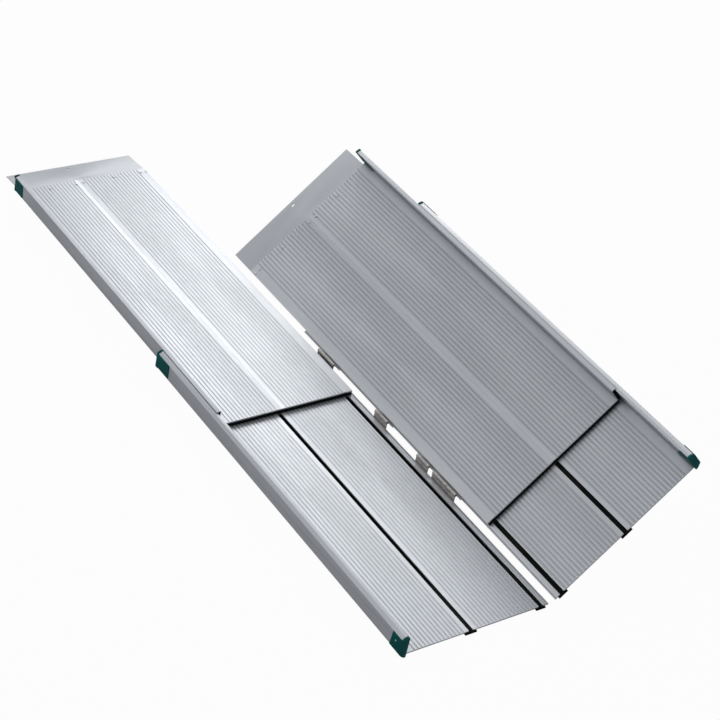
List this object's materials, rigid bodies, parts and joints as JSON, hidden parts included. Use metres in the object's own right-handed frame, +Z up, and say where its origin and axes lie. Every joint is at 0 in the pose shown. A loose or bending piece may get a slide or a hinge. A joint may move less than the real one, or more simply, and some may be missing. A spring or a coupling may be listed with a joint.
{
  "type": "portable wheelchair ramp",
  "caption": "Folding, telescopic wheelchair ramp in ribbed aluminium: hinged halves with side rails, each with a sliding upper section and a landing lip.",
  "frame": {"origin": "middle of the underside of the ramp's box, with the left half lying flat", "axes": "+Y runs along the ramp from the foot to the landing end, +Z is up, +X points to the folded-up right half"},
  "size_m": [0.6472, 1.6792, 0.3029],
  "materials": {
    "lower_aluminium": "satin anodised, ribbed extrusion",
    "upper_aluminium": "satin anodised, ribbed extrusion",
    "dark_aluminium": "black anodised",
    "green_plastic": "moulded, dark green",
    "black_plastic": "extruded, black",
    "hinge_steel": "dull steel",
    "rivet_metal": "plain rivets and screws"
  },
  "bodies": {
    "left_lower": {"left_lower_rail_panel": "lower_aluminium", "left_lower_inner_panel": "lower_aluminium", "left_hinge_edge_strip": "lower_aluminium", "left_centre_slot_channel": "dark_aluminium", "left_inner_slot_channel": "dark_aluminium", "left_centre_slot_insert": "black_plastic", "left_inner_slot_insert": "black_plastic", "left_foot_cap": "green_plastic", "left_foot_cap_screw": "rivet_metal", "left_lower_top_cap": "green_plastic", "hinge_1_left_leaf": "hinge_steel", "hinge_2_left_leaf": "hinge_steel", "hinge_3_left_leaf": "hinge_steel", "hinge_4_left_leaf": "hinge_steel", "hinge_1_pin": "hinge_steel", "hinge_2_pin": "hinge_steel", "hinge_3_pin": "hinge_steel", "hinge_4_pin": "hinge_steel"},
    "left_upper": {"left_upper_rail_panel": "upper_aluminium", "left_upper_inner_panel": "upper_aluminium", "left_landing_lip": "upper_aluminium", "left_upper_end_strip": "black_plastic", "left_upper_rail_end": "black_plastic", "left_centre_keel": "lower_aluminium", "left_inner_keel": "lower_aluminium", "left_upper_rail_cap": "green_plastic", "left_lip_rivet_1": "rivet_metal", "left_lip_rivet_2": "rivet_metal", "left_lip_rivet_3": "rivet_metal", "left_lip_rivet_4": "rivet_metal", "left_lip_rivet_5": "rivet_metal", "left_lip_rivet_6": "rivet_metal"},
    "right_lower": {"right_lower_rail_panel": "lower_aluminium", "right_lower_inner_panel": "lower_aluminium", "right_hinge_edge_strip": "lower_aluminium", "right_centre_slot_channel": "dark_aluminium", "right_inner_slot_channel": "dark_aluminium", "right_centre_slot_insert": "black_plastic", "right_inner_slot_insert": "black_plastic", "right_foot_cap": "green_plastic", "right_foot_cap_screw": "rivet_metal", "right_lower_top_cap": "green_plastic", "hinge_1_right_leaf": "hinge_steel", "hinge_2_right_leaf": "hinge_steel", "hinge_3_right_leaf": "hinge_steel", "hinge_4_right_leaf": "hinge_steel"},
    "right_upper": {"right_upper_rail_panel": "upper_aluminium", "right_upper_inner_panel": "upper_aluminium", "right_landing_lip": "upper_aluminium", "right_upper_end_strip": "black_plastic", "right_upper_rail_end": "black_plastic", "right_centre_keel": "lower_aluminium", "right_inner_keel": "lower_aluminium", "right_upper_rail_cap": "green_plastic", "right_lip_rivet_1": "rivet_metal", "right_lip_rivet_2": "rivet_metal", "right_lip_rivet_3": "rivet_metal", "right_lip_rivet_4": "rivet_metal", "right_lip_rivet_5": "rivet_metal", "right_lip_rivet_6": "rivet_metal"}
  },
  "joints": [
    {"name": "left_slide", "type": "slide", "parent": "left_lower", "child": "left_upper", "axis": [0, 1, 0], "range_m": [-0.55, 0.13]},
    {"name": "fold", "type": "hinge", "parent": "left_lower", "child": "right_lower", "pos_m": [0.03486, 0, 0.025], "axis": [0, -1, 0], "range_deg": [-42.6, 131.5]},
    {"name": "right_slide", "type": "slide", "parent": "right_lower", "child": "right_upper", "axis": [0, 1, 0], "range_m": [-0.085, 0.595]}
  ]
}
